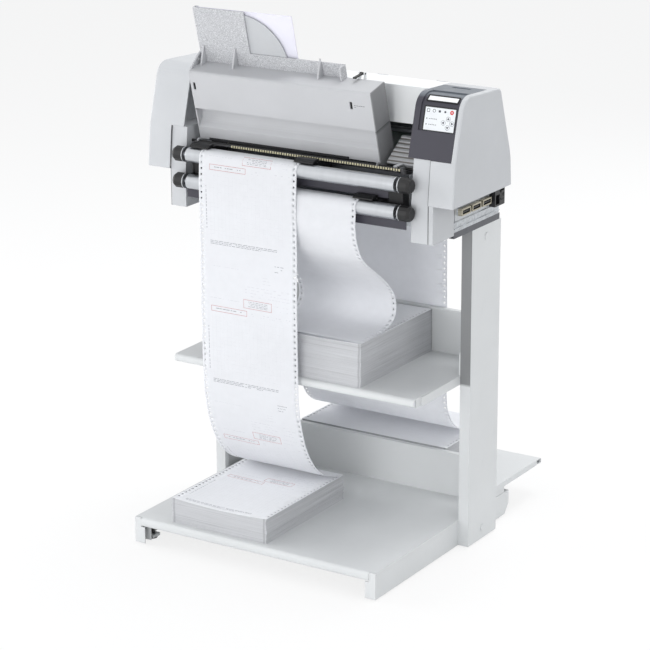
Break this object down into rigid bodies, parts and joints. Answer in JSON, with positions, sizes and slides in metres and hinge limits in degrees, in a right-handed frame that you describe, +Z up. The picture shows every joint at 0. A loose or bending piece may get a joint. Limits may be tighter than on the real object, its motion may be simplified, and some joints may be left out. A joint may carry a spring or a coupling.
{
  "type": "dot matrix printer",
  "caption": "Wide fanfold dot matrix printer on a sheet steel stand, with folding sheet table, sliding pin tractors, guide rollers, paper shelves and loaded forms.",
  "frame": {"origin": "middle of the footprint's bounding box on the floor", "axes": "+X to the operator's right seen from the front, +Y to the rear, +Z up"},
  "size_m": [0.742, 0.728, 1.1338],
  "materials": {
    "stand_paint": "satin powder coat, light grey",
    "cover_plastic": "fine textured moulded plastic",
    "top_plastic": "fine textured moulded plastic, lighter",
    "table_plastic": "fine textured moulded plastic",
    "support_plastic": "coarse speckled texture",
    "sector_plastic": "smooth",
    "extension_plastic": "smooth, pale lavender",
    "slate_plastic": "dark slate, soft sheen",
    "black_plastic": "moulded black",
    "dark_steel": "black oxide",
    "bar_paint": "dark grey",
    "zinc_steel": "zinc plated sheet",
    "rod_steel": "ground steel",
    "roller_aluminium": "brushed, clear anodised",
    "key_film": "printed membrane",
    "window_plastic": "display window, back lit white",
    "pin_plastic": "ivory acetal",
    "head_aluminium": "die cast",
    "belt_rubber": "toothed belt",
    "board_laminate": "green solder mask",
    "connector_metal": "brass and brown laminate",
    "paper": "fanfold forms"
  },
  "bodies": {
    "stand_and_frame": {"columns": "stand_paint", "foot_beams": "stand_paint", "foot_glides": "black_plastic", "bottom_tray": "stand_paint", "rear_shelf": "stand_paint", "mid_shelf": "stand_paint", "shelf_brackets": "stand_paint", "support_bars": "bar_paint", "stand_screws": "zinc_steel", "base_pan": "zinc_steel", "front_pillars": "cover_plastic", "housing_left": "cover_plastic", "housing_right": "cover_plastic", "rear_cover": "cover_plastic", "table_hinge_rod": "dark_steel", "control_bezel": "slate_plastic", "display_window": "window_plastic", "keypad": "key_film", "side_frames": "zinc_steel", "roller_brackets": "black_plastic", "tear_bar": "dark_steel", "guide_strips": "slate_plastic", "guide_rods": "rod_steel", "platen_bed": "cover_plastic", "carriage_belt": "belt_rubber", "carriage_motor": "dark_steel", "main_board": "board_laminate", "power_supply": "zinc_steel", "connector_block": "connector_metal", "output_paper": "paper", "input_paper": "paper", "rear_paper": "paper"},
    "sheet_table": {"sheet_table": "table_plastic", "sheet_support": "support_plastic"},
    "support_sector": {"support_sector": "sector_plastic"},
    "support_extension": {"support_extension": "extension_plastic"},
    "top_cover": {"top_cover": "top_plastic"},
    "cover_latch": {"cover_latch": "black_plastic"},
    "upper_roller": {"upper_roller": "roller_aluminium"},
    "lower_roller": {"lower_roller": "roller_aluminium"},
    "drive_shaft_upper": {"drive_shaft_upper": "rod_steel"},
    "drive_shaft_lower": {"drive_shaft_lower": "rod_steel"},
    "carriage": {"carriage": "black_plastic", "print_head": "head_aluminium", "ribbon_cassette": "black_plastic"},
    "drive_pulley": {"drive_pulley": "head_aluminium"},
    "idler_pulley": {"idler_pulley": "head_aluminium"},
    "power_switch": {"power_switch": "black_plastic"},
    "tractor_upper_left": {"tractor_upper_left": "black_plastic"},
    "door_upper_left": {"door_upper_left": "black_plastic"},
    "sprocket_upper_left": {"sprocket_upper_left": "pin_plastic"},
    "tractor_upper_right": {"tractor_upper_right": "black_plastic"},
    "door_upper_right": {"door_upper_right": "black_plastic"},
    "sprocket_upper_right": {"sprocket_upper_right": "pin_plastic"},
    "tractor_lower_left": {"tractor_lower_left": "black_plastic"},
    "door_lower_left": {"door_lower_left": "black_plastic"},
    "sprocket_lower_left": {"sprocket_lower_left": "pin_plastic"},
    "tractor_lower_right": {"tractor_lower_right": "black_plastic"},
    "door_lower_right": {"door_lower_right": "black_plastic"},
    "sprocket_lower_right": {"sprocket_lower_right": "pin_plastic"}
  },
  "joints": [
    {"name": "table_fold", "type": "hinge", "parent": "stand_and_frame", "child": "sheet_table", "pos_m": [0, -0.156, 0.847], "axis": [1, 0, 0], "range_deg": [0, 75]},
    {"name": "sector_swing", "type": "hinge", "parent": "sheet_table", "child": "support_sector", "pos_m": [-0.149, -0.13716, 1.02275], "axis": [0, -0.9664, -0.2571], "range_deg": [0, 90]},
    {"name": "extension_slide", "type": "slide", "parent": "sheet_table", "child": "support_extension", "axis": [0, -0.2571, 0.9664], "range_m": [-0.1, 0]},
    {"name": "top_cover_lift", "type": "hinge", "parent": "stand_and_frame", "child": "top_cover", "pos_m": [0, 0.001, 0.993], "axis": [-1, 0, 0], "range_deg": [0, 65]},
    {"name": "cover_latch_turn", "type": "hinge", "parent": "top_cover", "child": "cover_latch", "pos_m": [0.124, -0.123, 1.024], "axis": [1, 0, 0], "range_deg": [-95, 0]},
    {"name": "upper_roller_spin", "type": "hinge", "parent": "stand_and_frame", "child": "upper_roller", "pos_m": [0, -0.202, 0.827], "axis": [1, 0, 0], "continuous": true},
    {"name": "lower_roller_spin", "type": "hinge", "parent": "stand_and_frame", "child": "lower_roller", "pos_m": [0, -0.202, 0.77], "axis": [1, 0, 0], "continuous": true},
    {"name": "tractor_upper_left_slide", "type": "slide", "parent": "stand_and_frame", "child": "tractor_upper_left", "axis": [1, 0, 0], "range_m": [-0.001, 0.09]},
    {"name": "door_upper_left_open", "type": "hinge", "parent": "tractor_upper_left", "child": "door_upper_left", "pos_m": [-0.23065, -0.111, 0.8466], "axis": [0, -1, 0], "range_deg": [0, 95]},
    {"name": "tractor_upper_right_slide", "type": "slide", "parent": "stand_and_frame", "child": "tractor_upper_right", "axis": [1, 0, 0], "range_m": [-0.07, 0.11]},
    {"name": "door_upper_right_open", "type": "hinge", "parent": "tractor_upper_right", "child": "door_upper_right", "pos_m": [0.04165, -0.111, 0.8466], "axis": [0, 1, 0], "range_deg": [0, 95]},
    {"name": "tractor_lower_left_slide", "type": "slide", "parent": "stand_and_frame", "child": "tractor_lower_left", "axis": [1, 0, 0], "range_m": [-0.09, 0.06]},
    {"name": "door_lower_left_open", "type": "hinge", "parent": "tractor_lower_left", "child": "door_lower_left", "pos_m": [-0.09065, -0.111, 0.7896], "axis": [0, -1, 0], "range_deg": [0, 95]},
    {"name": "tractor_lower_right_slide", "type": "slide", "parent": "stand_and_frame", "child": "tractor_lower_right", "axis": [1, 0, 0], "range_m": [-0.06, 0.024]},
    {"name": "door_lower_right_open", "type": "hinge", "parent": "tractor_lower_right", "child": "door_lower_right", "pos_m": [0.18165, -0.111, 0.7896], "axis": [0, 1, 0], "range_deg": [0, 95]},
    {"name": "drive_shaft_upper_spin", "type": "hinge", "parent": "stand_and_frame", "child": "drive_shaft_upper", "pos_m": [0, -0.127, 0.82703], "axis": [1, 0, 0], "continuous": true},
    {"name": "sprocket_upper_left_spin", "type": "hinge", "parent": "tractor_upper_left", "child": "sprocket_upper_left", "pos_m": [-0.20865, -0.127, 0.82703], "axis": [1, 0, 0], "continuous": true},
    {"name": "sprocket_upper_right_spin", "type": "hinge", "parent": "tractor_upper_right", "child": "sprocket_upper_right", "pos_m": [0.01965, -0.127, 0.82703], "axis": [1, 0, 0], "continuous": true},
    {"name": "drive_shaft_lower_spin", "type": "hinge", "parent": "stand_and_frame", "child": "drive_shaft_lower", "pos_m": [0, -0.127, 0.77003], "axis": [1, 0, 0], "continuous": true},
    {"name": "sprocket_lower_left_spin", "type": "hinge", "parent": "tractor_lower_left", "child": "sprocket_lower_left", "pos_m": [-0.06865, -0.127, 0.77003], "axis": [1, 0, 0], "continuous": true},
    {"name": "sprocket_lower_right_spin", "type": "hinge", "parent": "tractor_lower_right", "child": "sprocket_lower_right", "pos_m": [0.15965, -0.127, 0.77003], "axis": [1, 0, 0], "continuous": true},
    {"name": "carriage_travel", "type": "slide", "parent": "stand_and_frame", "child": "carriage", "axis": [1, 0, 0], "range_m": [-0.15, 0.15]},
    {"name": "drive_pulley_spin", "type": "hinge", "parent": "stand_and_frame", "child": "drive_pulley", "pos_m": [-0.228, 0.016, 0.903], "axis": [0, 0, 1], "range_deg": [-720, 720]},
    {"name": "idler_pulley_spin", "type": "hinge", "parent": "stand_and_frame", "child": "idler_pulley", "pos_m": [0.228, 0.016, 0.903], "axis": [0, 0, 1], "range_deg": [-720, 720]},
    {"name": "power_rocker", "type": "hinge", "parent": "stand_and_frame", "child": "power_switch", "pos_m": [0.334, 0.078, 0.759], "axis": [0, 1, 0], "range_deg": [-9, 9]}
  ],
  "couplings": [
    {"joint": "sprocket_upper_left_spin", "follows": "drive_shaft_upper_spin", "ratio": 1},
    {"joint": "sprocket_upper_right_spin", "follows": "drive_shaft_upper_spin", "ratio": 1},
    {"joint": "sprocket_lower_left_spin", "follows": "drive_shaft_lower_spin", "ratio": 1},
    {"joint": "sprocket_lower_right_spin", "follows": "drive_shaft_lower_spin", "ratio": 1},
    {"joint": "drive_pulley_spin", "follows": "carriage_travel", "rad_per_m": 82.645},
    {"joint": "idler_pulley_spin", "follows": "carriage_travel", "rad_per_m": 82.645}
  ]
}
